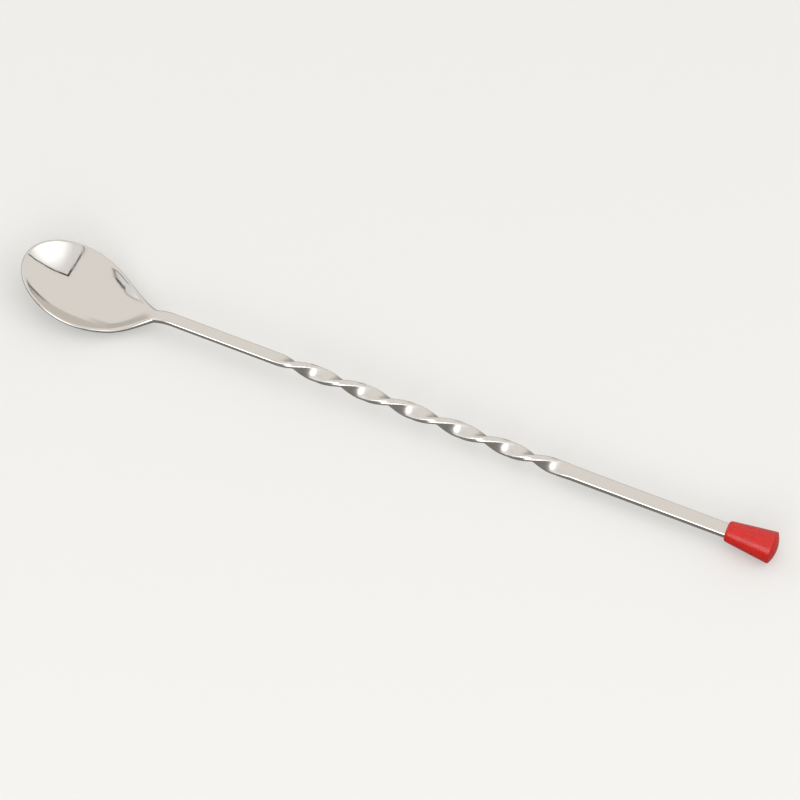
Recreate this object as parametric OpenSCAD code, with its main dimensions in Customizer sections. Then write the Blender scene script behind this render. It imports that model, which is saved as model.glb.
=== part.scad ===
// Bar spoon: one twisted stainless steel spoon with a plastic knob pushed onto the end of its handle.
// X runs along the spoon from the tip of the bowl to the knob, Y runs across it and Z is up.
// X = 0 is half way along, and the spoon rests on Z = 0, on the bowl and on the rim of the knob.

/* [Overall] */
// Length from the tip of the bowl to the end of the knob
spoon_l = 280; // [254:1:305]

/* [Bowl] */
// Widest measure across the bowl
bowl_w = 33; // [28:0.5:38]
// Length from the tip of the bowl to its widest place
bowl_tip_l = 20.2; // [18:0.2:24]
// Depth of the hollow below the rim, at the widest place
bowl_depth = 6; // [5:0.1:8]
// Fullness of the outline between the widest place and the neck: a smaller number is fuller
bowl_taper = 1.25; // [1.2:0.05:1.6]
// Angle by which the rim climbs from the neck towards the tip
rim_tilt = 13.8; // [8:0.2:16]
// Thickness of the pressed metal around the rim
sheet_t = 1.1; // [0.9:0.1:1.5]

/* [Handle] */
// Width of the bar between the bowl and the twist
shank_w = 4.8; // [4.2:0.1:5.6]
// Thickness of the bar between the bowl and the twist
shank_t = 2.3; // [2:0.1:2.7]
// Height of the middle of the bar between the bowl and the twist
shank_z = 8; // [6:0.1:9]
// Width of the bar from the twist to the knob
handle_w = 5.5; // [5:0.1:6]
// Thickness of the bar from the twist to the knob
handle_t = 2.6; // [2.4:0.1:2.9]
// Radius of the rounded edges of the bar
bar_edge_r = 0.9; // [0.5:0.1:1]
// Length of the bend that lifts the bar out of the neck
neck_bend_l = 20.5; // [16:0.5:24]
// Distance from the widest place of the bowl to the start of that bend
neck_bend_start = 15; // [15:0.5:20]

/* [Twist] */
// Distance from the tip of the bowl to the start of the twist
twist_start = 92; // [86:1:98]
// Length of the twisted stretch
twist_l = 113.8; // [100:0.2:120]
// Whole turns in the twist: it is left-handed
twist_turns = 3; // [1:1:4]
// Share of the twist over which its turning speeds up, and over which it slows down
twist_ramp = 0.06; // [0.02:0.01:0.2]

/* [Knob] */
// Diameter of the knob at its free end
knob_end_d = 11.6; // [10:0.1:13]
// Diameter of the knob where the handle goes in, before the edge is rounded
knob_neck_d = 7.4; // [7.2:0.1:9]
// Length of the cone of the knob, without the dome on its end
knob_cone_l = 17; // [15:0.1:20]
// Height of the dome on the free end
knob_dome_h = 1.6; // [1:0.1:2.5]
// Radius of the edge around the handle
knob_edge_r = 1.2; // [0.8:0.1:2]
// Length of handle inside the knob
socket_depth = 12; // [8:0.5:13]
// Clearance between the handle and the socket, on each side
socket_gap = 0.05; // [0.02:0.01:0.08]

/* [Hidden] */

// How finely the spoon is cut: strips across each face, turn of the twist for each ring, and so on.
face_strips = 10;
edge_angles = [60, 30, 6];
tip_rings = 16;
neck_rings = 24;
twist_step = 15;
first_tip_angle = 2;
slope_step = 0.01;
keel_search_step = 0.25;
knob_facets = 96;

tip_x = -spoon_l / 2;
end_x = spoon_l / 2;
wide_x = tip_x + bowl_tip_l;
// This length makes the two halves of the outline meet with the same curvature.
neck_l = bowl_tip_l * sqrt(2 * bowl_taper * (1 - shank_w / bowl_w));
// This length does the same for the two halves of the keel.
keel_l = bowl_tip_l * PI / 2;
neck_bend_x = wide_x + neck_bend_start;
neck_end_x = neck_bend_x + neck_bend_l;
twist_x = tip_x + twist_start;
twist_end_x = twist_x + twist_l;
// The bar grows from the shank's section to the handle's over this length.
bar_growth_l = 10;

knob_cone_end_x = end_x - knob_dome_h;
knob_x = knob_cone_end_x - knob_cone_l;
handle_z = knob_end_d / 2;
handle_end_x = knob_x + socket_depth;
handle_chamfer = 0.4;
// The flats that can be gripped stop this far short of the knob.
grip_gap = 0.5;
socket_floor_gap = 0.2;

// The rim line falls from the tip to the neck, and its height is set so that the bowl touches Z = 0.
rim_slope = tan(rim_tilt);
rim_tip_z = max([
    for (x = [wide_x : keel_search_step : neck_bend_x])
        rim_slope * (x - tip_x) + keel_sag(x) + metal_t(x) / 2
]);

function clamp01(s) = min(max(s, 0), 1);
function ease(s) = let (c = clamp01(s)) c * c * (3 - 2 * c);
function mix(a, b, s) = a + (b - a) * s;
function unit(v) = v / norm(v);

// 1 at the tip of the bowl, 0 at its widest place and beyond
function tip_share(x) = clamp01((wide_x - x) / bowl_tip_l);
// 0 up to the widest place of the bowl, 1 at the end of the neck and beyond
function neck_share(x) = clamp01((x - wide_x) / neck_l);

function bar_growth(x) = ease((x - twist_x) / bar_growth_l);
function bar_w(x) = mix(shank_w, handle_w, bar_growth(x));
function bar_t(x) = mix(shank_t, handle_t, bar_growth(x));

// Half of the width at x: half an ellipse to the widest place, then a taper that ends in the bar
function half_w(x) = x < wide_x
    ? bowl_w / 2 * sqrt(1 - pow(tip_share(x), 2))
    : mix(bar_w(x), bowl_w, pow(1 - pow(neck_share(x), 2), bowl_taper)) / 2;

// Direction square to the outline in plan, pointing out of the +Y side
function outline_normal(x) = x < wide_x
    ? unit([-tip_share(x) / bowl_tip_l, 2 / bowl_w * sqrt(1 - pow(tip_share(x), 2))])
    : unit([(half_w(x - slope_step) - half_w(x + slope_step)) / (2 * slope_step), 1]);

// Depth of the middle of the hollow below its sides
function keel_sag(x) = x < wide_x
    ? bowl_depth * (1 - pow(tip_share(x), 2))
    : bowl_depth * (1 + cos(180 * clamp01((x - wide_x) / keel_l))) / 2;

// Height of the sides of the section, which is the middle of the bar where there is no hollow
function side_z(x) = let (
        rim = rim_tip_z - rim_slope * (x - tip_x),
        bar = mix(shank_z, handle_z, ease((x - twist_x) / twist_l))
    ) mix(rim, bar, ease((x - neck_bend_x) / neck_bend_l));

function mid_z(x, y) = side_z(x) - keel_sag(x) * (1 - pow(y / half_w(x), 2));

function metal_t(x) = mix(sheet_t, bar_t(x), ease((x - wide_x) / (neck_end_x - wide_x)));
function edge_r(x) = min(bar_edge_r, metal_t(x) / 2);

// Share of the whole twist that has been turned at x
function twist_share(x) = let (s = clamp01((x - twist_x) / twist_l), k = twist_ramp)
    s < k ? s * s / (2 * k * (1 - k))
    : s > 1 - k ? 1 - pow(1 - s, 2) / (2 * k * (1 - k))
    : (s - k / 2) / (1 - k);

// A point of the section at x, before the twist. "across" goes from -1 to 1 over the width,
// "lift" is the distance above the middle of the metal and "out" the distance past the flat part.
function skin_point(x, across, lift, out) = let (
        normal = outline_normal(x),
        side = across < 0 ? -1 : 1,
        px = x - edge_r(x) * normal[0],
        py = across * (half_w(x) - edge_r(x) * normal[1]),
        slope_x = (mid_z(px + slope_step, py) - mid_z(px - slope_step, py)) / (2 * slope_step),
        slope_y = (mid_z(px, py + slope_step) - mid_z(px, py - slope_step)) / (2 * slope_step),
        up = unit([-slope_x, -slope_y, 1]),
        away = unit([normal[0], side * normal[1], slope_x * normal[0] + slope_y * side * normal[1]])
    ) [px, py, mid_z(px, py)] + lift * up + out * away;

function edge_point(x, side, angle) = let (r = edge_r(x), core = metal_t(x) / 2 - r)
    skin_point(x, side, sign(angle) * core + r * sin(angle), r * cos(angle));

function face_points(x, side) = [
    for (i = [0 : face_strips]) skin_point(x, side * (2 * i / face_strips - 1), side * metal_t(x) / 2, 0)
];

function edge_points(x, side) = [
    for (a = edge_angles) edge_point(x, side, side * a),
    for (i = [len(edge_angles) - 1 : -1 : 0]) edge_point(x, side, -side * edge_angles[i])
];

// Turns a point of the section about the middle of the bar, the -Y side going up
function twisted(p, x) = let (
        turn = 360 * twist_turns * twist_share(x),
        dz = p[2] - side_z(x)
    ) [p[0], p[1] * cos(turn) + dz * sin(turn), side_z(x) + dz * cos(turn) - p[1] * sin(turn)];

function ring(x) = [
    for (p = concat(face_points(x, 1), edge_points(x, 1), face_points(x, -1), edge_points(x, -1)))
        twisted(p, x)
];

// The last ring is the bar's section shrunk towards its middle, which breaks the sharp edge of the end.
function end_ring(x) = let (
        share_w = 1 - 2 * handle_chamfer / handle_w,
        share_t = 1 - 2 * handle_chamfer / handle_t
    ) [for (p = ring(x)) [p[0], p[1] * share_w, handle_z + (p[2] - handle_z) * share_t]];

tip_stations = [
    for (i = [0 : tip_rings - 1])
        wide_x - bowl_tip_l * cos(mix(first_tip_angle, 90, i / tip_rings))
];
neck_stations = [for (i = [0 : neck_rings]) mix(wide_x, neck_end_x, i / neck_rings)];
twist_rings = 360 * twist_turns / twist_step;
twist_stations = [for (i = [0 : twist_rings]) mix(twist_x, twist_end_x, i / twist_rings)];
stations = concat(
    tip_stations,
    neck_stations,
    twist_stations,
    [knob_x - grip_gap, handle_end_x - handle_chamfer]
);

// Two triangles for each gap between neighbouring points of neighbouring rings
function wall_faces(rings, size) = [
    for (i = [0 : rings - 2], j = [0 : size - 1]) let (
            a = i * size + j,
            b = i * size + (j + 1) % size
        ) each [[a, b, b + size], [a, b + size, a + size]]
];

// Closes one face row of a ring: triangles from its two halves to the nearest points of the edges
function row_faces(row, size) = let (
        middle = row + face_strips / 2,
        next = (row + face_strips + 1) % size,
        last = (row + size - 1) % size
    ) concat(
        [for (i = [row : middle - 1]) [i, i + 1, last]],
        [for (i = [middle : row + face_strips - 1]) [i, i + 1, next]],
        [[middle, next, last]]
    );

// Closes a ring of the given size: both face rows, then strips that join its +Y edge to its -Y edge
function cap_faces(size) = let (edge = face_strips + 1, steps = 2 * len(edge_angles) - 1) concat(
    row_faces(0, size),
    row_faces(size / 2, size),
    [
        for (k = [0 : steps - 1]) let (
                a = edge + k,
                b = size - 1 - k
            ) each [[a, a + 1, b - 1], [a, b - 1, b]]
    ]
);

function flipped(faces) = [for (f = faces) [f[2], f[1], f[0]]];
function moved(faces, offset) = [for (f = faces) [for (k = f) k + offset]];

module spoon() {
    color([0.80, 0.78, 0.75]) {
        rings = concat([for (x = stations) ring(x)], [end_ring(handle_end_x)]);
        size = len(rings[0]);
        polyhedron(
            points = [for (r = rings) each r],
            faces = concat(
                wall_faces(len(rings), size),
                flipped(cap_faces(size)),
                moved(cap_faces(size), (len(rings) - 1) * size)
            )
        );
    }
}

module knob_blank() {
    cone_lean = atan((knob_end_d - knob_neck_d) / 2 / knob_cone_l);
    edge_x = knob_edge_r;
    edge_centre_r = knob_neck_d / 2 + edge_x * tan(cone_lean) - knob_edge_r / cos(cone_lean);
    dome_r = (pow(knob_end_d / 2, 2) + pow(knob_dome_h, 2)) / (2 * knob_dome_h);
    dome_half_angle = asin(knob_end_d / 2 / dome_r);
    edge_steps = 12;
    dome_steps = 12;
    outline = concat(
        [[0, 0]],
        [
            for (i = [0 : edge_steps]) let (a = mix(-90, -cone_lean, i / edge_steps))
                [edge_centre_r + knob_edge_r * cos(a), edge_x + knob_edge_r * sin(a)]
        ],
        [
            for (i = [0 : dome_steps]) let (a = dome_half_angle * (1 - i / dome_steps))
                [dome_r * sin(a), knob_cone_l + knob_dome_h - dome_r * (1 - cos(a))]
        ]
    );
    rotate_extrude($fn = knob_facets)
        polygon(outline);
}

// A bar with the handle's section, with a gap added on each side
module handle_space(length) {
    w = handle_w + 2 * socket_gap;
    t = handle_t + 2 * socket_gap;
    r = bar_edge_r + socket_gap;
    translate([-(w / 2 - r), -t / 2, 0])
        cube([w - 2 * r, t, length]);
    translate([-w / 2, -(t / 2 - r), 0])
        cube([w, t - 2 * r, length]);
    for (sx = [-1, 1], sy = [-1, 1])
        translate([sx * (w / 2 - r), sy * (t / 2 - r), 0])
            cylinder(r = r, h = length, $fn = knob_facets);
}

module knob() {
    lead = 1;
    color([0.84, 0.14, 0.14])
        translate([knob_x, 0, handle_z])
            rotate([0, 90, 0])
                difference() {
                    knob_blank();
                    rotate([0, 0, 90])
                        translate([0, 0, -lead])
                            handle_space(socket_depth + socket_floor_gap + lead);
                }
}

spoon();
knob();
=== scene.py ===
"""Bar spoon: a twisted stainless steel spoon with a plastic knob pushed onto the end of its handle.

X runs along the spoon from the bowl to the knob, Y runs across it and Z is up, in metres, in the frame
of the CAD model. The steel and the knob are built here as smooth closed meshes that stand for the two
CAD parts, with the same sizes.
"""

import math

import bpy
import numpy as np
from mathutils import Matrix, Vector


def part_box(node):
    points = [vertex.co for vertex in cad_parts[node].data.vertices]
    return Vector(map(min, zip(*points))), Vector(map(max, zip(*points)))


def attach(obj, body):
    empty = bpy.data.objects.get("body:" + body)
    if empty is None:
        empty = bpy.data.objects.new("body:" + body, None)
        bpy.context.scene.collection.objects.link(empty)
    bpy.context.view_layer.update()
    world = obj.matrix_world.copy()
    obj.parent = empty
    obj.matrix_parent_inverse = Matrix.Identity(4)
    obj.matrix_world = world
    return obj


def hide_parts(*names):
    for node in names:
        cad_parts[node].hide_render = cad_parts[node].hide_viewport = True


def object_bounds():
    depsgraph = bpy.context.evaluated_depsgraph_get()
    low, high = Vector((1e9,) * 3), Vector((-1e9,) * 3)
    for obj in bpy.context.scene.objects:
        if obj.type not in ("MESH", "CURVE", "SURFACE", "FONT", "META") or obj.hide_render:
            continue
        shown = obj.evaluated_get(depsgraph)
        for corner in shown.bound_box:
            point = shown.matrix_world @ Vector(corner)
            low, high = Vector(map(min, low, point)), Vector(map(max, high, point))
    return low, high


bl_info = {
    "name": "Bar Spoon",
    "version": (1, 0, 0),
    "blender": (4, 5, 0),
    "location": "3D View > Sidebar > Bar Spoon",
    "description": "Builds a twisted bar spoon, its push-on knob and a plain studio",
    "category": "Add Mesh",
}

MM = 0.001
# Half of the step over which slopes of the steel are measured
SLOPE_STEP = 0.01 * MM

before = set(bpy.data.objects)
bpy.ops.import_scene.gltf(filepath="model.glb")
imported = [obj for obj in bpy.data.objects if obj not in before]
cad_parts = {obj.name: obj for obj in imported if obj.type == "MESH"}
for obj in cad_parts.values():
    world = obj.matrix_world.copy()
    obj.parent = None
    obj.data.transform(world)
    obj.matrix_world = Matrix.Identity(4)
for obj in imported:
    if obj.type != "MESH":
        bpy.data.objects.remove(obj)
CAD_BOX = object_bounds()
SPOON_LOW, SPOON_HIGH = (Vector(corner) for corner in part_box("spoon"))
KNOB_LOW, KNOB_HIGH = (Vector(corner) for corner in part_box("knob"))


# ---------------------------------------------------------------- sizes and colours


class SpoonSizes(bpy.types.PropertyGroup):
    bowl_w: bpy.props.FloatProperty(
        name="Bowl width",
        description="Widest measure across the bowl",
        default=33 * MM,
        unit="LENGTH",
    )
    bowl_tip_l: bpy.props.FloatProperty(
        name="Tip to widest place",
        description="Length from the tip of the bowl to its widest place",
        default=20.2 * MM,
        unit="LENGTH",
    )
    bowl_depth: bpy.props.FloatProperty(
        name="Bowl depth",
        description="Depth of the hollow below the rim, at the widest place",
        default=6 * MM,
        unit="LENGTH",
    )
    bowl_taper: bpy.props.FloatProperty(
        name="Bowl taper",
        description="Fullness of the outline towards the neck: a smaller number is fuller",
        default=1.25,
    )
    rim_tilt: bpy.props.FloatProperty(
        name="Rim tilt",
        description="Angle by which the rim climbs from the neck towards the tip",
        default=math.radians(13.8),
        subtype="ANGLE",
    )
    sheet_t: bpy.props.FloatProperty(
        name="Rim thickness",
        description="Thickness of the pressed metal around the rim",
        default=1.1 * MM,
        unit="LENGTH",
    )
    shank_w: bpy.props.FloatProperty(
        name="Shank width",
        description="Width of the bar between the bowl and the twist",
        default=4.8 * MM,
        unit="LENGTH",
    )
    shank_t: bpy.props.FloatProperty(
        name="Shank thickness",
        description="Thickness of the bar between the bowl and the twist",
        default=2.3 * MM,
        unit="LENGTH",
    )
    shank_z: bpy.props.FloatProperty(
        name="Shank height",
        description="Height of the middle of the bar between the bowl and the twist",
        default=8 * MM,
        unit="LENGTH",
    )
    handle_w: bpy.props.FloatProperty(
        name="Handle width",
        description="Width of the bar from the twist to the knob",
        default=5.5 * MM,
        unit="LENGTH",
    )
    handle_t: bpy.props.FloatProperty(
        name="Handle thickness",
        description="Thickness of the bar from the twist to the knob",
        default=2.6 * MM,
        unit="LENGTH",
    )
    bar_edge_r: bpy.props.FloatProperty(
        name="Bar edge radius",
        description="Radius of the rounded edges of the bar",
        default=0.9 * MM,
        unit="LENGTH",
    )
    neck_bend_l: bpy.props.FloatProperty(
        name="Neck bend length",
        description="Length of the bend that lifts the bar out of the neck",
        default=20.5 * MM,
        unit="LENGTH",
    )
    neck_bend_start: bpy.props.FloatProperty(
        name="Neck bend start",
        description="Distance from the widest place of the bowl to the start of the bend",
        default=15 * MM,
        unit="LENGTH",
    )
    twist_start: bpy.props.FloatProperty(
        name="Twist start",
        description="Distance from the tip of the bowl to the start of the twist",
        default=92 * MM,
        unit="LENGTH",
    )
    twist_l: bpy.props.FloatProperty(
        name="Twist length",
        description="Length of the twisted stretch",
        default=113.8 * MM,
        unit="LENGTH",
    )
    twist_turns: bpy.props.IntProperty(
        name="Twist turns",
        description="Whole turns in the twist",
        default=3,
    )
    twist_ramp: bpy.props.FloatProperty(
        name="Twist ramp",
        description="Share of the twist over which its turning speeds up or slows down",
        default=0.06,
        subtype="FACTOR",
    )
    bar_growth_l: bpy.props.FloatProperty(
        name="Bar growth length",
        description="Length over which the bar grows from the shank's section to the handle's",
        default=10 * MM,
        unit="LENGTH",
    )
    end_chamfer: bpy.props.FloatProperty(
        name="End chamfer",
        description="Chamfer around the hidden end of the bar",
        default=0.4 * MM,
        unit="LENGTH",
    )


class KnobSizes(bpy.types.PropertyGroup):
    neck_d: bpy.props.FloatProperty(
        name="Neck diameter",
        description="Diameter where the handle goes in, before the edge is rounded",
        default=7.4 * MM,
        unit="LENGTH",
    )
    dome_h: bpy.props.FloatProperty(
        name="Dome height",
        description="Height of the dome on the free end",
        default=1.6 * MM,
        unit="LENGTH",
    )
    edge_r: bpy.props.FloatProperty(
        name="Edge radius",
        description="Radius of the edge around the handle",
        default=1.2 * MM,
        unit="LENGTH",
    )
    rim_r: bpy.props.FloatProperty(
        name="Rim radius",
        description="Radius of the crisp rim between the cone and the dome",
        default=0.25 * MM,
        unit="LENGTH",
    )
    socket_depth: bpy.props.FloatProperty(
        name="Socket depth",
        description="Length of handle inside the knob",
        default=12 * MM,
        unit="LENGTH",
    )
    socket_gap: bpy.props.FloatProperty(
        name="Socket gap",
        description="Clearance between the handle and the socket, on each side",
        default=0.05 * MM,
        unit="LENGTH",
    )
    floor_gap: bpy.props.FloatProperty(
        name="Floor gap",
        description="Clearance between the end of the handle and the floor of the socket",
        default=0.2 * MM,
        unit="LENGTH",
    )
    mouth_r: bpy.props.FloatProperty(
        name="Mouth radius",
        description="Radius of the moulded edge around the mouth of the socket",
        default=0.12 * MM,
        unit="LENGTH",
    )


class Finishes(bpy.types.PropertyGroup):
    steel: bpy.props.StringProperty(
        name="Steel",
        description="Colour of the stainless steel, as sRGB hex",
        default="#DEDAD5",
    )
    knob_red: bpy.props.StringProperty(
        name="Knob red",
        description="Colour of the knob, as sRGB hex",
        default="#CC1A12",
    )
    floor: bpy.props.StringProperty(
        name="Floor",
        description="Colour of the studio floor, as sRGB hex",
        default="#C8C8C6",
    )
    floor_front: bpy.props.StringProperty(
        name="Front floor in reflections",
        description="Colour of the floor in front of the spoon, seen in the steel, as sRGB hex",
        default="#82807E",
    )
    floor_back: bpy.props.StringProperty(
        name="Back floor in reflections",
        description="Colour of the floor behind the spoon, seen in the steel, as sRGB hex",
        default="#C8C4C0",
    )


class StudioSettings(bpy.types.PropertyGroup):
    elevation: bpy.props.FloatProperty(
        name="Camera elevation",
        description="Angle of the camera above the floor, seen along the spoon",
        default=math.radians(55.1),
        subtype="ANGLE",
    )
    swing: bpy.props.FloatProperty(
        name="Camera swing",
        description="Angle of the camera from square-on towards the knob",
        default=math.radians(7.2),
        subtype="ANGLE",
    )
    roll: bpy.props.FloatProperty(
        name="Camera roll",
        description="Angle by which the spoon slopes down to the right in the frame",
        default=math.radians(20.47),
        subtype="ANGLE",
    )
    distance: bpy.props.FloatProperty(
        name="Camera distance",
        description="Distance from the camera to the middle of the spoon",
        default=5.0,
        unit="LENGTH",
    )
    lens: bpy.props.FloatProperty(
        name="Lens",
        description="Focal length of the camera on a 36 mm sensor, in millimetres",
        default=652.5,
    )
    aim_right: bpy.props.FloatProperty(
        name="Aim right",
        description="How far to the right of the spoon's middle the camera aims",
        default=0.54 * MM,
        unit="LENGTH",
    )
    aim_up: bpy.props.FloatProperty(
        name="Aim up",
        description="How far above the spoon's middle the camera aims, in the frame",
        default=2.79 * MM,
        unit="LENGTH",
    )
    floor_size: bpy.props.FloatProperty(
        name="Floor size",
        description="Side of the square floor",
        default=40.0,
        unit="LENGTH",
    )


# ---------------------------------------------------------------- small helpers


def linear_rgba(hex_colour):
    """An sRGB hex colour as linear red, green, blue and alpha."""
    channels = [int(hex_colour[i : i + 2], 16) / 255 for i in (1, 3, 5)]
    return [c / 12.92 if c <= 0.04045 else ((c + 0.055) / 1.055) ** 2.4 for c in channels] + [1.0]


def ease(share):
    share = np.clip(share, 0, 1)
    return share * share * (3 - 2 * share)


def mix(low, high, share):
    return low + (high - low) * share


def unit(vectors):
    return vectors / np.linalg.norm(vectors, axis=-1, keepdims=True)


def add_mesh(name, points, faces, smooth=True):
    """A mesh object from points and faces, linked to the scene."""
    mesh = bpy.data.meshes.new(name)
    mesh.from_pydata([tuple(p) for p in points], [], [tuple(f) for f in faces])
    mesh.validate()
    mesh.shade_smooth() if smooth else mesh.shade_flat()
    piece = bpy.data.objects.new(name, mesh)
    bpy.context.scene.collection.objects.link(piece)
    return piece


def loft_faces(rings, size):
    """Quads between neighbouring points of neighbouring closed rings."""
    faces = []
    for i in range(rings - 1):
        for j in range(size):
            a = i * size + j
            b = i * size + (j + 1) % size
            faces.append((a, a + size, b + size, b))
    return faces


def node(tree, kind, links=(), **settings):
    """Adds a shader node. Settings are its attributes, or its sockets where the name is one;
    links are (output socket, name of the input it goes to)."""
    new = tree.nodes.new(kind)
    for name, value in settings.items():
        if hasattr(new, name):
            setattr(new, name, value)
        else:
            new.inputs[name.replace("_", " ")].default_value = value
    for output, name in links:
        tree.links.new(output, new.inputs[name])
    return new


def new_material(name):
    """An empty material with an output node; returns the material, its tree and the output."""
    material = bpy.data.materials.new(name)
    material.use_nodes = True
    tree = material.node_tree
    tree.nodes.clear()
    return material, tree, tree.nodes.new("ShaderNodeOutputMaterial")


# ---------------------------------------------------------------- the shape of the steel


class SpoonShape:
    """The formulas of the steel, from the sizes of the add-on."""

    def __init__(self, sizes, handle_end_x):
        self.sizes = sizes
        self.tip_x = SPOON_LOW.x
        self.wide_x = self.tip_x + sizes.bowl_tip_l
        self.neck_l = sizes.bowl_tip_l * math.sqrt(2 * sizes.bowl_taper * (1 - sizes.shank_w / sizes.bowl_w))
        self.keel_l = sizes.bowl_tip_l * math.pi / 2
        self.neck_bend_x = self.wide_x + sizes.neck_bend_start
        self.neck_end_x = self.neck_bend_x + sizes.neck_bend_l
        self.twist_x = self.tip_x + sizes.twist_start
        self.twist_end_x = self.twist_x + sizes.twist_l
        self.handle_z = (KNOB_LOW.z + KNOB_HIGH.z) / 2
        self.handle_end_x = handle_end_x
        self.rim_slope = math.tan(sizes.rim_tilt)
        # The rim's height is set so that the lowest place of the keel touches the floor.
        x = np.linspace(self.wide_x, self.neck_bend_x, 60)
        lowest = self.rim_slope * (x - self.tip_x) + self.keel_sag(x) + self.metal_t(x) / 2
        self.rim_tip_z = lowest.max()

    def tip_share(self, x):
        return np.clip((self.wide_x - x) / self.sizes.bowl_tip_l, 0, 1)

    def neck_share(self, x):
        return np.clip((x - self.wide_x) / self.neck_l, 0, 1)

    def bar_growth(self, x):
        return ease((x - self.twist_x) / self.sizes.bar_growth_l)

    def bar_w(self, x):
        return mix(self.sizes.shank_w, self.sizes.handle_w, self.bar_growth(x))

    def bar_t(self, x):
        return mix(self.sizes.shank_t, self.sizes.handle_t, self.bar_growth(x))

    def half_w(self, x):
        """Half an ellipse up to the widest place, then a taper that ends in the bar."""
        tip = self.sizes.bowl_w / 2 * np.sqrt(1 - self.tip_share(x) ** 2)
        taper = (1 - self.neck_share(x) ** 2) ** self.sizes.bowl_taper
        return np.where(x < self.wide_x, tip, mix(self.bar_w(x), self.sizes.bowl_w, taper) / 2)

    def outline_normal(self, x):
        """Direction square to the outline in plan, pointing out of the +Y side."""
        step = SLOPE_STEP
        slope = (self.half_w(x - step) - self.half_w(x + step)) / (2 * step)
        neck = np.stack([slope, np.ones_like(x)], -1)
        share = self.tip_share(x)
        tip = np.stack([-share / self.sizes.bowl_tip_l, 2 / self.sizes.bowl_w * np.sqrt(1 - share**2)], -1)
        return np.where((x < self.wide_x)[:, None], unit(tip), unit(neck))

    def keel_sag(self, x):
        tip = 1 - self.tip_share(x) ** 2
        neck = (1 + np.cos(np.pi * np.clip((x - self.wide_x) / self.keel_l, 0, 1))) / 2
        return self.sizes.bowl_depth * np.where(x < self.wide_x, tip, neck)

    def side_z(self, x):
        """Height of the sides of the section: the middle of the bar where there is no hollow."""
        rim = self.rim_tip_z - self.rim_slope * (x - self.tip_x)
        bar = mix(self.sizes.shank_z, self.handle_z, ease((x - self.twist_x) / self.sizes.twist_l))
        return mix(rim, bar, ease((x - self.neck_bend_x) / self.sizes.neck_bend_l))

    def mid_z(self, x, y):
        return self.side_z(x) - self.keel_sag(x) * (1 - (y / self.half_w(x)) ** 2)

    def metal_t(self, x):
        run = self.sizes.neck_bend_start + self.sizes.neck_bend_l
        return mix(self.sizes.sheet_t, self.bar_t(x), ease((x - self.wide_x) / run))

    def edge_r(self, x):
        return np.minimum(self.sizes.bar_edge_r, self.metal_t(x) / 2)

    def turn(self, x):
        """Angle through which the section has been twisted at x."""
        along = np.clip((x - self.twist_x) / self.sizes.twist_l, 0, 1)
        ramp = self.sizes.twist_ramp
        speeding = along * along / (2 * ramp * (1 - ramp))
        slowing = 1 - (1 - along) ** 2 / (2 * ramp * (1 - ramp))
        steady = (along - ramp / 2) / (1 - ramp)
        share = np.where(along < ramp, speeding, np.where(along > 1 - ramp, slowing, steady))
        return 2 * math.pi * self.sizes.twist_turns * share

    def skin(self, x, across, lift, out):
        """Points of the sections at x, one for each place in across, lift and out."""
        x = x[:, None] + np.zeros_like(across)[None, :]
        across = across[None, :] + np.zeros_like(x)
        shape = x.shape
        normal = self.outline_normal(x.ravel()).reshape(*shape, 2)
        side = np.where(across < 0, -1, 1)
        r = self.edge_r(x)
        px = x - r * normal[..., 0]
        py = across * (self.half_w(x) - r * normal[..., 1])
        step = SLOPE_STEP
        slope_x = (self.mid_z(px + step, py) - self.mid_z(px - step, py)) / (2 * step)
        slope_y = (self.mid_z(px, py + step) - self.mid_z(px, py - step)) / (2 * step)
        up = unit(np.stack([-slope_x, -slope_y, np.ones_like(px)], -1))
        climb = slope_x * normal[..., 0] + slope_y * side * normal[..., 1]
        away = unit(np.stack([normal[..., 0], side * normal[..., 1], climb], -1))
        middle = np.stack([px, py, self.mid_z(px, py)], -1)
        core = self.metal_t(x) / 2 - r
        height = np.sign(lift) * core + r * lift
        return middle + height[..., None] * up + (r * out)[..., None] * away

    def rings(self, x, across_steps, edge_steps):
        """Closed rings of points, one for each x, from the top face round the +Y edge."""
        face = np.linspace(-1, 1, across_steps + 1)
        arc = np.radians(np.linspace(90, 0, edge_steps, endpoint=False))[1:]
        corner = np.concatenate([arc, [math.radians(3)]])
        edge = np.concatenate([corner, -corner[::-1]])
        ones = np.ones_like(face)
        across = np.concatenate([face, np.ones_like(edge), face[::-1], -np.ones_like(edge)])
        lift = np.concatenate([ones, np.sin(edge), -ones, -np.sin(edge)])
        out = np.concatenate([0 * ones, np.cos(edge), 0 * ones, np.cos(edge)])
        points = self.skin(x, across, lift, out)
        centre = self.side_z(x)[:, None]
        turn = self.turn(x)[:, None]
        dz = points[..., 2] - centre
        y = points[..., 1] * np.cos(turn) + dz * np.sin(turn)
        z = centre + dz * np.cos(turn) - points[..., 1] * np.sin(turn)
        return np.stack([points[..., 0], y, z], -1)

    def stations(self):
        """Places along the spoon where a ring goes, close together where the shape changes fast."""
        tip = self.wide_x - self.sizes.bowl_tip_l * np.cos(np.radians(np.linspace(1, 90, 70)))
        neck = np.linspace(self.wide_x, self.neck_end_x, 91)[1:]
        shank = np.linspace(self.neck_end_x, self.twist_x, 9)[1:]
        twist = np.linspace(self.twist_x, self.twist_end_x, 120 * self.sizes.twist_turns + 1)[1:]
        handle = np.linspace(self.twist_end_x, self.handle_end_x - self.sizes.end_chamfer, 17)[1:]
        return np.concatenate([tip, neck, shank, twist, handle])


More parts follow.
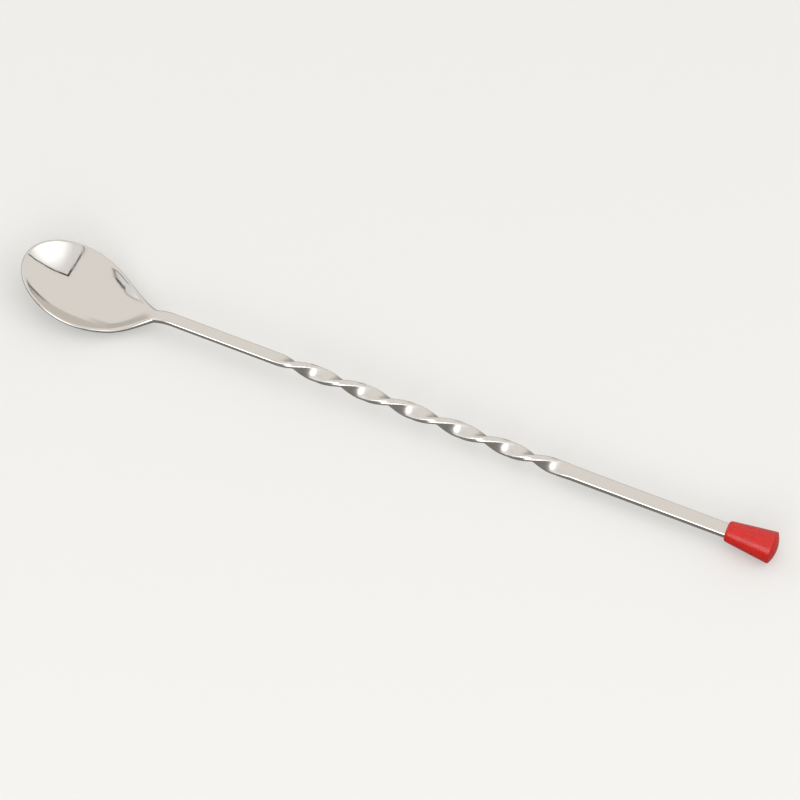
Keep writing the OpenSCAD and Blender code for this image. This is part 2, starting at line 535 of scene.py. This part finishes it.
def cap_faces(face_points, edge_points, size):
    """Closes one ring: fans from its two face rows, then strips across between its two edges."""
    faces = []
    for row in (0, size // 2):
        middle = row + (face_points - 1) // 2
        after = (row + face_points) % size
        before = (row + size - 1) % size
        faces += [(i, i + 1, before) for i in range(row, middle)]
        faces += [(i, i + 1, after) for i in range(middle, row + face_points - 1)]
        faces.append((middle, after, before))
    for k in range(edge_points - 1):
        a = face_points + k
        b = size - 1 - k
        faces.append((a, a + 1, b - 1, b))
    return faces


def build_steel(sizes, handle_end_x):
    """The one-piece steel spoon as a closed mesh."""
    across_steps = 36
    edge_steps = 7
    shape = SpoonShape(sizes, handle_end_x)
    rings = shape.rings(shape.stations(), across_steps, edge_steps)
    end = rings[-1].copy()
    end[:, 0] = shape.handle_end_x
    end[:, 1] *= 1 - 2 * sizes.end_chamfer / sizes.handle_w
    end[:, 2] = shape.handle_z + (end[:, 2] - shape.handle_z) * (1 - 2 * sizes.end_chamfer / sizes.handle_t)
    rings = np.concatenate([rings, end[None]])
    count, size = rings.shape[:2]
    cap = cap_faces(across_steps + 1, 2 * edge_steps, size)
    last = (count - 1) * size
    faces = loft_faces(count, size)
    faces += cap
    faces += [tuple(k + last for k in reversed(f)) for f in cap]
    piece = add_mesh("spoon_steel", rings.reshape(-1, 3), faces)
    on_edge = np.zeros((count, size), dtype=np.float32)
    on_edge[:, across_steps + 1 : across_steps + 1 + 2 * edge_steps] = 1
    on_edge[:, 2 * (across_steps + 1) + 2 * edge_steps :] = 1
    piece.data.attributes.new("edge", "FLOAT", "POINT").data.foreach_set("value", on_edge.ravel())
    return piece


# ---------------------------------------------------------------- the shape of the knob


def knob_outline(sizes, length, end_r):
    """Radius and distance along the knob, from the mouth round the cone and the dome to the tip."""
    neck_r = sizes.neck_d / 2
    cone_l = length - sizes.dome_h
    lean = math.atan((end_r - neck_r) / cone_l)
    edge_r = sizes.edge_r
    edge_centre_r = neck_r + edge_r * math.tan(lean) - edge_r / math.cos(lean)
    edge = np.radians(np.linspace(-90, -math.degrees(lean), 15))
    points = [(edge_centre_r + edge_r * math.cos(a), edge_r + edge_r * math.sin(a)) for a in edge]
    dome_r = (end_r**2 + sizes.dome_h**2) / (2 * sizes.dome_h)
    # The rim's own arc touches the cone and the dome from the inside.
    rim_r = sizes.rim_r
    dome_centre = length - dome_r
    along = np.linspace(cone_l - 3 * rim_r, cone_l, 4000)
    cone_offset_r = neck_r + along * math.tan(lean) - rim_r / math.cos(lean)
    miss = np.abs(np.hypot(cone_offset_r, along - dome_centre) - (dome_r - rim_r))
    best = int(np.argmin(miss))
    rim_z = along[best]
    rim_centre_r = cone_offset_r[best]
    dome_touch = math.atan2(rim_z - dome_centre, rim_centre_r)
    for z in np.linspace(edge_r, rim_z - rim_r * math.sin(lean), 22)[1:-1]:
        points.append((neck_r + z * math.tan(lean), z))
    for a in np.linspace(-lean, dome_touch, 7):
        points.append((rim_centre_r + rim_r * math.cos(a), rim_z + rim_r * math.sin(a)))
    for a in np.linspace(math.pi / 2 - dome_touch, 0, 16)[1:-1]:
        points.append((dome_r * math.sin(a), dome_centre + dome_r * math.cos(a)))
    return points


def socket_ring(half_w, half_t, radius, angles):
    """Points of a rounded rectangle, one in each direction of angles, as (across, up)."""
    points = []
    core_w = half_w - radius
    core_t = half_t - radius
    for a in angles:
        dy, dz = math.cos(a), math.sin(a)
        reach = min(half_w / abs(dy) if dy else 1, half_t / abs(dz) if dz else 1)
        y, z = abs(reach * dy), abs(reach * dz)
        if y > core_w and z > core_t:
            # The ray leaves through the round corner: solve |ray - corner centre| = radius.
            along = core_w * abs(dy) + core_t * abs(dz)
            off = core_w**2 + core_t**2 - radius**2
            reach = along + math.sqrt(max(along**2 - off, 0))
        points.append((reach * dy, reach * dz))
    return points


def build_knob(sizes, spoon_sizes):
    """The moulded knob with its blind socket, as a closed mesh."""
    steps = 144
    angles = [2 * math.pi * k / steps for k in range(steps)]
    length = KNOB_HIGH.x - KNOB_LOW.x
    end_r = (KNOB_HIGH.z - KNOB_LOW.z) / 2
    centre_z = (KNOB_HIGH.z + KNOB_LOW.z) / 2
    outline = knob_outline(sizes, length, end_r)
    half_w = spoon_sizes.handle_w / 2 + sizes.socket_gap
    half_t = spoon_sizes.handle_t / 2 + sizes.socket_gap
    radius = spoon_sizes.bar_edge_r + sizes.socket_gap
    socket_l = sizes.socket_depth + sizes.floor_gap
    rings = []
    for along in np.linspace(socket_l, sizes.mouth_r, 8):
        rings.append([(along, y, z) for y, z in socket_ring(half_w, half_t, radius, angles)])
    for a in np.radians([30, 60, 90]):
        grow = sizes.mouth_r * (1 - math.cos(a))
        along = sizes.mouth_r * (1 - math.sin(a))
        ring = socket_ring(half_w + grow, half_t + grow, radius + grow, angles)
        rings.append([(along, y, z) for y, z in ring])
    # The round edge starts inside the wide sides of the mouth, so there its rings keep just outside them.
    mouth_reach = [math.hypot(y, z) for _, y, z in rings[-1]]
    front_r = outline[0][0]
    front_lip = 0.02 * MM
    edge_lip = 0.03 * MM
    lip_slope = 0.2
    for share in (0.5, 1.0):
        reaches = [mix(reach, max(front_r, reach + front_lip), share) for reach in mouth_reach]
        rings.append([(0.0, reach * math.cos(a), reach * math.sin(a)) for reach, a in zip(reaches, angles)])
    for r, along in outline[1:]:
        lip = edge_lip + lip_slope * along
        on_edge = along < sizes.edge_r
        reaches = [max(r, reach + lip) if on_edge else r for reach in mouth_reach]
        rings.append([(along, reach * math.cos(a), reach * math.sin(a)) for reach, a in zip(reaches, angles)])
    points = [(KNOB_LOW.x + along, y, centre_z + z) for ring in rings for along, y, z in ring]
    faces = [tuple(reversed(face)) for face in loft_faces(len(rings), steps)]
    floor = len(points)
    points.append((KNOB_LOW.x + socket_l, 0, centre_z))
    tip = len(points)
    points.append((KNOB_HIGH.x, 0, centre_z))
    last = (len(rings) - 1) * steps
    for k in range(steps):
        after = (k + 1) % steps
        faces.append((floor, after, k))
        faces.append((last + k, last + after, tip))
    return add_mesh("end_knob", points, faces)


# ---------------------------------------------------------------- materials


def buffed_stainless_steel(colour, neck_end_x, twist_x, twist_end_x):
    """18/8 stainless steel, tumbled and then buffed: near a mirror inside the bowl, and a satin with fine
    lengthwise lines on the bar, where the buffing wheel ran along it. The edges carry small dents."""
    material, tree, output = new_material("buffed_stainless_steel")
    place = node(tree, "ShaderNodeTexCoord").outputs["Object"]
    edge = node(tree, "ShaderNodeAttribute", attribute_name="edge").outputs["Fac"]
    x = node(tree, "ShaderNodeSeparateXYZ", [(place, "Vector")]).outputs["X"]
    bar = node(
        tree,
        "ShaderNodeMapRange",
        [(x, "Value")],
        interpolation_type="SMOOTHSTEP",
        From_Min=neck_end_x - 22 * MM,
        From_Max=neck_end_x,
    ).outputs["Result"]

    # Buffing lines: 0.2 mm apart and about 8 mm long, four times as deep on the bar as in the bowl.
    line_place = node(
        tree, "ShaderNodeMapping", [(place, "Vector")], Scale=(1 / (8 * MM), 1 / (0.2 * MM), 1 / (0.2 * MM))
    )
    lines = node(
        tree,
        "ShaderNodeTexNoise",
        [(line_place.outputs["Vector"], "Vector")],
        Scale=1.0,
        Detail=3.0,
        Roughness=0.6,
    ).outputs["Fac"]
    # 1 along the twist, fading to 0 over 8 mm at each end of it.
    fade = 4 * MM
    twist_in = node(
        tree, "ShaderNodeMapRange", [(x, "Value")], From_Min=twist_x - fade, From_Max=twist_x + fade
    ).outputs["Result"]
    twist_out = node(
        tree, "ShaderNodeMapRange", [(x, "Value")], From_Min=twist_end_x + fade, From_Max=twist_end_x - fade
    ).outputs["Result"]
    twist = node(
        tree, "ShaderNodeMath", [(twist_in, 0), (twist_out, 1)], operation="MULTIPLY"
    ).outputs["Value"]
    line_depth = node(tree, "ShaderNodeMapRange", [(bar, "Value")], To_Min=0.25, To_Max=1.0).outputs["Result"]

    # Waves left by the press and by the twisting, about 7 mm and 2 mm across.
    press_waves = node(
        tree, "ShaderNodeTexNoise", [(place, "Vector")], Scale=1 / (7 * MM), Detail=1.0, Roughness=0.4
    ).outputs["Fac"]
    twist_waves = node(
        tree, "ShaderNodeTexNoise", [(place, "Vector")], Scale=1 / (2 * MM), Detail=1.0, Roughness=0.4
    ).outputs["Fac"]

    # Small dents along the trimmed rim, about 0.5 mm across.
    rim_dents = node(
        tree, "ShaderNodeTexNoise", [(place, "Vector")], Scale=1 / (0.5 * MM), Detail=2.0, Roughness=0.6
    ).outputs["Fac"]

    # Faint smears and water marks, about 4 mm across, change only how clear the reflection is.
    smears = node(
        tree, "ShaderNodeTexNoise", [(place, "Vector")], Scale=1 / (4 * MM), Detail=5.0, Roughness=0.62
    ).outputs["Fac"]
    bowl_rough = node(
        tree, "ShaderNodeMapRange", [(smears, "Value")], From_Min=0.35, From_Max=0.7, To_Min=0.05, To_Max=0.14
    ).outputs["Result"]
    bar_rough = node(
        tree, "ShaderNodeMapRange", [(lines, "Value")], From_Min=0.3, From_Max=0.7, To_Min=0.12, To_Max=0.24
    ).outputs["Result"]
    flat_rough = node(
        tree, "ShaderNodeMix", [(bar, "Factor"), (bowl_rough, "A"), (bar_rough, "B")], data_type="FLOAT"
    ).outputs["Result"]
    edge_rough = node(
        tree,
        "ShaderNodeMapRange",
        [(rim_dents, "Value")],
        From_Min=0.3,
        From_Max=0.7,
        To_Min=0.08,
        To_Max=0.18,
    ).outputs["Result"]
    rough = node(
        tree, "ShaderNodeMix", [(edge, "Factor"), (flat_rough, "A"), (edge_rough, "B")], data_type="FLOAT"
    ).outputs["Result"]
    # Twisting the bar cold roughens its skin.
    twist_rough = node(tree, "ShaderNodeMapRange", [(twist, "Value")], To_Max=0.14).outputs["Result"]
    rough = node(tree, "ShaderNodeMath", [(twist_rough, 0), (rough, 1)], operation="ADD").outputs["Value"]

    bump = node(
        tree, "ShaderNodeBump", [(lines, "Height"), (line_depth, "Strength")], Distance=0.004 * MM
    ).outputs["Normal"]
    bump = node(
        tree, "ShaderNodeBump", [(press_waves, "Height"), (bump, "Normal")], Strength=1.0, Distance=0.05 * MM
    ).outputs["Normal"]
    bump = node(
        tree,
        "ShaderNodeBump",
        [(twist_waves, "Height"), (bar, "Strength"), (bump, "Normal")],
        Distance=0.02 * MM,
    ).outputs["Normal"]
    bump = node(
        tree,
        "ShaderNodeBump",
        [(rim_dents, "Height"), (edge, "Strength"), (bump, "Normal")],
        Distance=0.02 * MM,
    ).outputs["Normal"]
    steel = node(
        tree,
        "ShaderNodeBsdfPrincipled",
        [(rough, "Roughness"), (bump, "Normal")],
        Base_Color=linear_rgba(colour),
        Metallic=1.0,
    )
    tree.links.new(steel.outputs["BSDF"], output.inputs["Surface"])
    return material


def moulded_polyethylene(colour):
    """Low-density polyethylene, injection-moulded: a waxy satin red that light enters a little way, with
    an uneven skin that breaks up its highlight."""
    material, tree, output = new_material("moulded_polyethylene")
    place = node(tree, "ShaderNodeTexCoord").outputs["Object"]
    # Flow marks stretched along the knob, about 3 mm by 0.8 mm, and a fine grain of 0.25 mm.
    flow_place = node(
        tree, "ShaderNodeMapping", [(place, "Vector")], Scale=(1 / (3 * MM), 1 / (0.8 * MM), 1 / (0.8 * MM))
    )
    flow = node(
        tree,
        "ShaderNodeTexNoise",
        [(flow_place.outputs["Vector"], "Vector")],
        Scale=1.0,
        Detail=3.0,
        Roughness=0.55,
    ).outputs["Fac"]
    grain = node(
        tree, "ShaderNodeTexNoise", [(place, "Vector")], Scale=1 / (0.25 * MM), Detail=2.0
    ).outputs["Fac"]
    tint = node(tree, "ShaderNodeMapRange", [(flow, "Value")], From_Min=0.3, From_Max=0.7).outputs["Result"]
    red = linear_rgba(colour)
    shade = node(tree, "ShaderNodeMix", [(tint, "Factor")], data_type="RGBA")
    shade.inputs["A"].default_value = [0.86 * c for c in red[:3]] + [1.0]
    shade.inputs["B"].default_value = [1.1 * c for c in red[:3]] + [1.0]
    rough = node(
        tree, "ShaderNodeMapRange", [(grain, "Value")], From_Min=0.3, From_Max=0.7, To_Min=0.14, To_Max=0.36
    ).outputs["Result"]
    bump = node(
        tree, "ShaderNodeBump", [(flow, "Height")], Strength=1.0, Distance=0.08 * MM
    ).outputs["Normal"]
    bump = node(
        tree, "ShaderNodeBump", [(grain, "Height"), (bump, "Normal")], Strength=1.0, Distance=0.03 * MM
    ).outputs["Normal"]
    plastic = node(
        tree,
        "ShaderNodeBsdfPrincipled",
        [(rough, "Roughness"), (bump, "Normal"), (shade.outputs["Result"], "Base Color")],
        IOR=1.51,
        Specular_IOR_Level=0.55,
        Subsurface_Weight=0.1,
        Subsurface_Scale=1.0 * MM,
        Subsurface_Radius=(1.0, 0.25, 0.15),
    )
    tree.links.new(plastic.outputs["BSDF"], output.inputs["Surface"])
    return material


def painted_board(colour, front_reflected, back_reflected):
    """Matt painted board: a plain pale floor with no shine, lit a little from below. In reflections it is
    darker, most of all in front, which keeps the lower edges of the steel dark and crisp."""
    material, tree, output = new_material("painted_board")
    place = node(tree, "ShaderNodeTexCoord").outputs["Object"]
    y = node(tree, "ShaderNodeSeparateXYZ", [(place, "Vector")]).outputs["Y"]
    back = node(
        tree, "ShaderNodeMapRange", [(y, "Value")], From_Min=-10 * MM, From_Max=60 * MM
    ).outputs["Result"]
    shade = node(tree, "ShaderNodeMix", [(back, "Factor")], data_type="RGBA")
    shade.inputs["A"].default_value = linear_rgba(front_reflected)
    shade.inputs["B"].default_value = linear_rgba(back_reflected)
    dark = node(tree, "ShaderNodeBsdfDiffuse", [(shade.outputs["Result"], "Color")])
    glow = node(tree, "ShaderNodeEmission", Color=linear_rgba(colour), Strength=0.45)
    lit = node(tree, "ShaderNodeBsdfDiffuse", Color=linear_rgba(colour))
    pale = node(tree, "ShaderNodeAddShader", [(glow.outputs["Emission"], 0), (lit.outputs["BSDF"], 1)])
    seen = node(tree, "ShaderNodeLightPath").outputs["Is Camera Ray"]
    paint = node(
        tree, "ShaderNodeMixShader", [(seen, 0), (dark.outputs["BSDF"], 1), (pale.outputs["Shader"], 2)]
    )
    tree.links.new(paint.outputs["Shader"], output.inputs["Surface"])
    return material


def lit_fabric(name, edge, centre):
    """White diffuser fabric over a lamp: brighter in the middle, so its reflection fades outwards."""
    material, tree, output = new_material(name)
    place = node(tree, "ShaderNodeTexCoord").outputs["Generated"]
    middle = node(tree, "ShaderNodeVectorMath", [(place, "Vector")], operation="DISTANCE")
    middle.inputs[1].default_value = (0.5, 0.5, 0.5)
    glow = node(
        tree,
        "ShaderNodeMapRange",
        [(middle.outputs["Value"], "Value")],
        interpolation_type="SMOOTHSTEP",
        From_Min=0.1,
        From_Max=0.5,
        To_Min=centre,
        To_Max=edge,
    ).outputs["Result"]
    light = node(tree, "ShaderNodeEmission", [(glow, "Strength")])
    tree.links.new(light.outputs["Emission"], output.inputs["Surface"])
    return material


def black_cloth():
    """The black cloth rim of a softbox, which draws a thin dark line round its reflection."""
    material, tree, output = new_material("black_cloth")
    cloth = node(tree, "ShaderNodeBsdfDiffuse", Color=linear_rgba("#2A2826"))
    tree.links.new(cloth.outputs["BSDF"], output.inputs["Surface"])
    return material


# ---------------------------------------------------------------- the studio


def camera_axes(studio):
    """Directions from the spoon to the camera, to the right of the frame and up the frame."""
    e, a, roll = studio.elevation, studio.swing, studio.roll
    back = Vector((math.sin(a), -math.cos(a) * math.cos(e), math.cos(a) * math.sin(e)))
    level = Vector((math.cos(a), math.sin(a) * math.cos(e), -math.sin(a) * math.sin(e)))
    over = Vector((0, math.sin(e), math.cos(e)))
    right = level * math.cos(roll) + over * math.sin(roll)
    up = over * math.cos(roll) - level * math.sin(roll)
    return back, right, up


def add_camera(studio, middle):
    back, right, up = camera_axes(studio)
    data = bpy.data.cameras.new("studio_camera")
    data.lens = studio.lens
    data.sensor_width = 36
    camera = bpy.data.objects.new("studio_camera", data)
    bpy.context.scene.collection.objects.link(camera)
    place = middle + right * studio.aim_right + up * studio.aim_up + back * studio.distance
    turn = Matrix((right, up, back)).transposed().to_4x4()
    camera.matrix_world = Matrix.Translation(place) @ turn
    bpy.context.scene.camera = camera


def sight_line(right, back):
    """A direction given as its angle from straight up, split into a part towards +X and one towards +Y."""
    tilt = math.hypot(right, back)
    reach = math.sin(math.radians(tilt)) / tilt
    return Vector((right * reach, back * reach, math.cos(math.radians(tilt))))


def add_panel(name, aim, corners, distance, material, rim):
    """A flat panel that shows as the given corners from the aim point, with a black rim outside it.
    Both show only in reflections, so they never stand between the camera and the spoon."""
    lines = [sight_line(*corner) for corner in corners]
    facing = sum(lines, Vector()).normalized()
    inner = [aim + line * (distance / line.dot(facing)) for line in lines]
    panel = add_mesh(name, inner, [tuple(range(len(inner)))], smooth=False)
    panel.data.materials.append(material)
    panel.visible_camera = False
    middle = sum(inner, Vector()) / len(inner)
    outer = [p + (p - middle).normalized() * rim for p in inner]
    count = len(inner)
    sides = [(k, (k + 1) % count, count + (k + 1) % count, count + k) for k in range(count)]
    border = add_mesh(name + "_rim", inner + outer, sides, smooth=False)
    border.data.materials.append(black_cloth())
    border.visible_camera = False


def room_light(pale, wall_colour, skirting_colour):
    """A plain pale room with a low wall at the back left and a dark skirting line at the horizon. They
    show only in reflections: behind the spoon the room is plain."""
    world = bpy.data.worlds.new("studio_room")
    bpy.context.scene.world = world
    world.use_nodes = True
    tree = world.node_tree
    tree.nodes.clear()
    output = tree.nodes.new("ShaderNodeOutputWorld")
    place = node(tree, "ShaderNodeTexCoord").outputs["Generated"]
    way = node(tree, "ShaderNodeSeparateXYZ", [(place, "Vector")])
    over = node(tree, "ShaderNodeMapRange", [(way.outputs["Z"], "Value")], From_Min=0.27, From_Max=0.31)
    beside = node(tree, "ShaderNodeMapRange", [(way.outputs["X"], "Value")], From_Min=-0.25, From_Max=-0.1)
    clear = node(
        tree,
        "ShaderNodeMath",
        [(over.outputs["Result"], 0), (beside.outputs["Result"], 1)],
        operation="MAXIMUM",
    )
    room = node(tree, "ShaderNodeMix", [(clear.outputs["Value"], "Factor")], data_type="RGBA")
    room.inputs["A"].default_value = linear_rgba(wall_colour)
    room.inputs["B"].default_value = linear_rgba(pale)
    skirting = node(tree, "ShaderNodeMapRange", [(way.outputs["Z"], "Value")], From_Min=0.03, From_Max=0.06)
    low = node(
        tree,
        "ShaderNodeMix",
        [(skirting.outputs["Result"], "Factor"), (room.outputs["Result"], "B")],
        data_type="RGBA",
    )
    low.inputs["A"].default_value = linear_rgba(skirting_colour)
    seen = node(tree, "ShaderNodeLightPath").outputs["Is Camera Ray"]
    colour = node(tree, "ShaderNodeMix", [(seen, "Factor"), (low.outputs["Result"], "A")], data_type="RGBA")
    colour.inputs["B"].default_value = linear_rgba(pale)
    sky = node(tree, "ShaderNodeBackground", [(colour.outputs["Result"], "Color")], Strength=1.0)
    tree.links.new(sky.outputs["Background"], output.inputs["Surface"])


# ---------------------------------------------------------------- operators


class BARSPOON_OT_steel(bpy.types.Operator):
    """Builds the one-piece steel spoon"""

    bl_idname = "barspoon.steel"
    bl_label = "Steel Spoon"
    bl_options = {"REGISTER", "UNDO"}

    def execute(self, context):
        sizes = context.scene.barspoon_sizes
        piece = build_steel(sizes, SPOON_HIGH.x)
        shape = SpoonShape(sizes, SPOON_HIGH.x)
        piece.data.materials.append(
            buffed_stainless_steel(
                context.scene.barspoon_finishes.steel, shape.neck_end_x, shape.twist_x, shape.twist_end_x
            )
        )
        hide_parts("spoon")
        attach(piece, "steel_spoon")
        return {"FINISHED"}


class BARSPOON_OT_knob(bpy.types.Operator):
    """Builds the moulded knob with its socket"""

    bl_idname = "barspoon.knob"
    bl_label = "End Knob"
    bl_options = {"REGISTER", "UNDO"}

    def execute(self, context):
        piece = build_knob(context.scene.barspoon_knob, context.scene.barspoon_sizes)
        piece.data.materials.append(moulded_polyethylene(context.scene.barspoon_finishes.knob_red))
        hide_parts("knob")
        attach(piece, "end_knob")
        return {"FINISHED"}


class BARSPOON_OT_studio(bpy.types.Operator):
    """Builds the floor, the lights and the camera"""

    bl_idname = "barspoon.studio"
    bl_label = "Studio"
    bl_options = {"REGISTER", "UNDO"}

    def execute(self, context):
        studio = context.scene.barspoon_studio
        half = studio.floor_size / 2
        corners = [(-half, -half, 0), (half, -half, 0), (half, half, 0), (-half, half, 0)]
        floor = add_mesh("studio_floor", corners, [(0, 1, 2, 3)], smooth=False)
        finishes = context.scene.barspoon_finishes
        floor.data.materials.append(painted_board(finishes.floor, finishes.floor_front, finishes.floor_back))
        # Each softbox is given by its corners as seen from the bowl or the twist, for sight_line.
        bowl = Vector((-122 * MM, 0.0, 6 * MM))
        twist = Vector((20 * MM, 0.0, 8 * MM))
        right_corners = [(31, 13), (68, 44), (80, -36), (19, -46)]
        left_corners = [(-19, -3), (-9, -27), (-40, -76), (-84, 36)]
        front_corners = [(-30, -42), (32, -42), (38, -80), (-36, -80)]
        right_fabric = lit_fabric("right_fabric", 0.9, 1.9)
        left_fabric = lit_fabric("left_fabric", 0.88, 1.25)
        front_fabric = lit_fabric("front_fabric", 1.3, 5.0)
        add_panel("softbox_right", bowl, right_corners, 1.2, right_fabric, 60 * MM)
        add_panel("softbox_left", bowl, left_corners, 1.2, left_fabric, 45 * MM)
        add_panel("softbox_front", twist, front_corners, 1.4, front_fabric, 50 * MM)
        room_light("#F6F3EF", "#CFCBC7", "#5A5856")
        context.scene.view_settings.view_transform = "Standard"
        middle = Vector(((CAD_BOX[0][0] + CAD_BOX[1][0]) / 2, 0, (KNOB_LOW.z + KNOB_HIGH.z) / 2))
        add_camera(studio, middle)
        return {"FINISHED"}


class BARSPOON_PT_panel(bpy.types.Panel):
    """Lists the sizes, the finishes and the builders of the bar spoon"""

    bl_idname = "BARSPOON_PT_panel"
    bl_label = "Bar Spoon"
    bl_space_type = "VIEW_3D"
    bl_region_type = "UI"
    bl_category = "Bar Spoon"

    def draw(self, context):
        scene = context.scene
        for group_name in GROUPS:
            group = getattr(scene, group_name)
            box = self.layout.box()
            for name in group.__annotations__:
                box.prop(group, name)
        for operator in OPERATORS:
            self.layout.operator(operator.bl_idname)


OPERATORS = (BARSPOON_OT_steel, BARSPOON_OT_knob, BARSPOON_OT_studio)
CLASSES = (SpoonSizes, KnobSizes, Finishes, StudioSettings, *OPERATORS, BARSPOON_PT_panel)
GROUPS = {
    "barspoon_sizes": SpoonSizes,
    "barspoon_knob": KnobSizes,
    "barspoon_finishes": Finishes,
    "barspoon_studio": StudioSettings,
}


def register():
    for cls in CLASSES:
        bpy.utils.register_class(cls)
    for name, group in GROUPS.items():
        setattr(bpy.types.Scene, name, bpy.props.PointerProperty(type=group))


def unregister():
    for name in GROUPS:
        delattr(bpy.types.Scene, name)
    for cls in reversed(CLASSES):
        bpy.utils.unregister_class(cls)


def main():
    register()
    bpy.ops.barspoon.steel()
    bpy.ops.barspoon.knob()
    bpy.ops.barspoon.studio()


if __name__ == "__main__":
    main()
